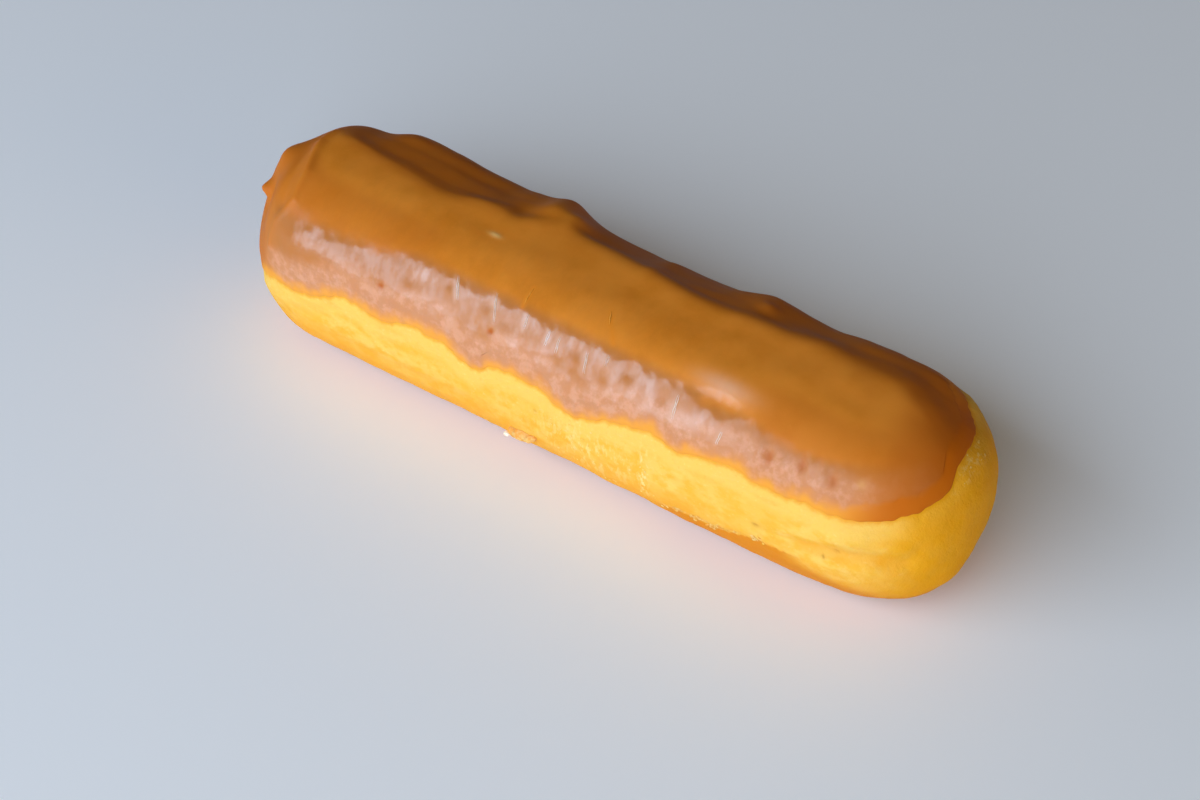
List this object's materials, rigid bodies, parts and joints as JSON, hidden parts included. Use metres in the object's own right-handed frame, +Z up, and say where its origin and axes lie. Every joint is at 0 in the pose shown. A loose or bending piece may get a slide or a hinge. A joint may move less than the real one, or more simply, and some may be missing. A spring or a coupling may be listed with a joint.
{
  "type": "long john doughnut",
  "caption": "Bar-shaped yeast doughnut with rounded ends, its top dipped in maple icing that sets with a wavy lower edge and leaves one end bare.",
  "frame": {"origin": "under the middle of the bounding box, on the level that the doughnut rests on", "axes": "+Z up, +X along the bar towards the end that the icing leaves bare, -Y towards the shown side"},
  "size_m": [0.1802, 0.0484, 0.0428],
  "materials": {
    "fried_dough": "soft fried yeast dough, golden yellow on the sides and browned underneath",
    "maple_icing": "set caramel-brown icing with a satin gloss, thin and orange at its edge"
  },
  "bodies": {
    "root": {"dough": "fried_dough", "icing": "maple_icing"}
  },
  "joints": []
}
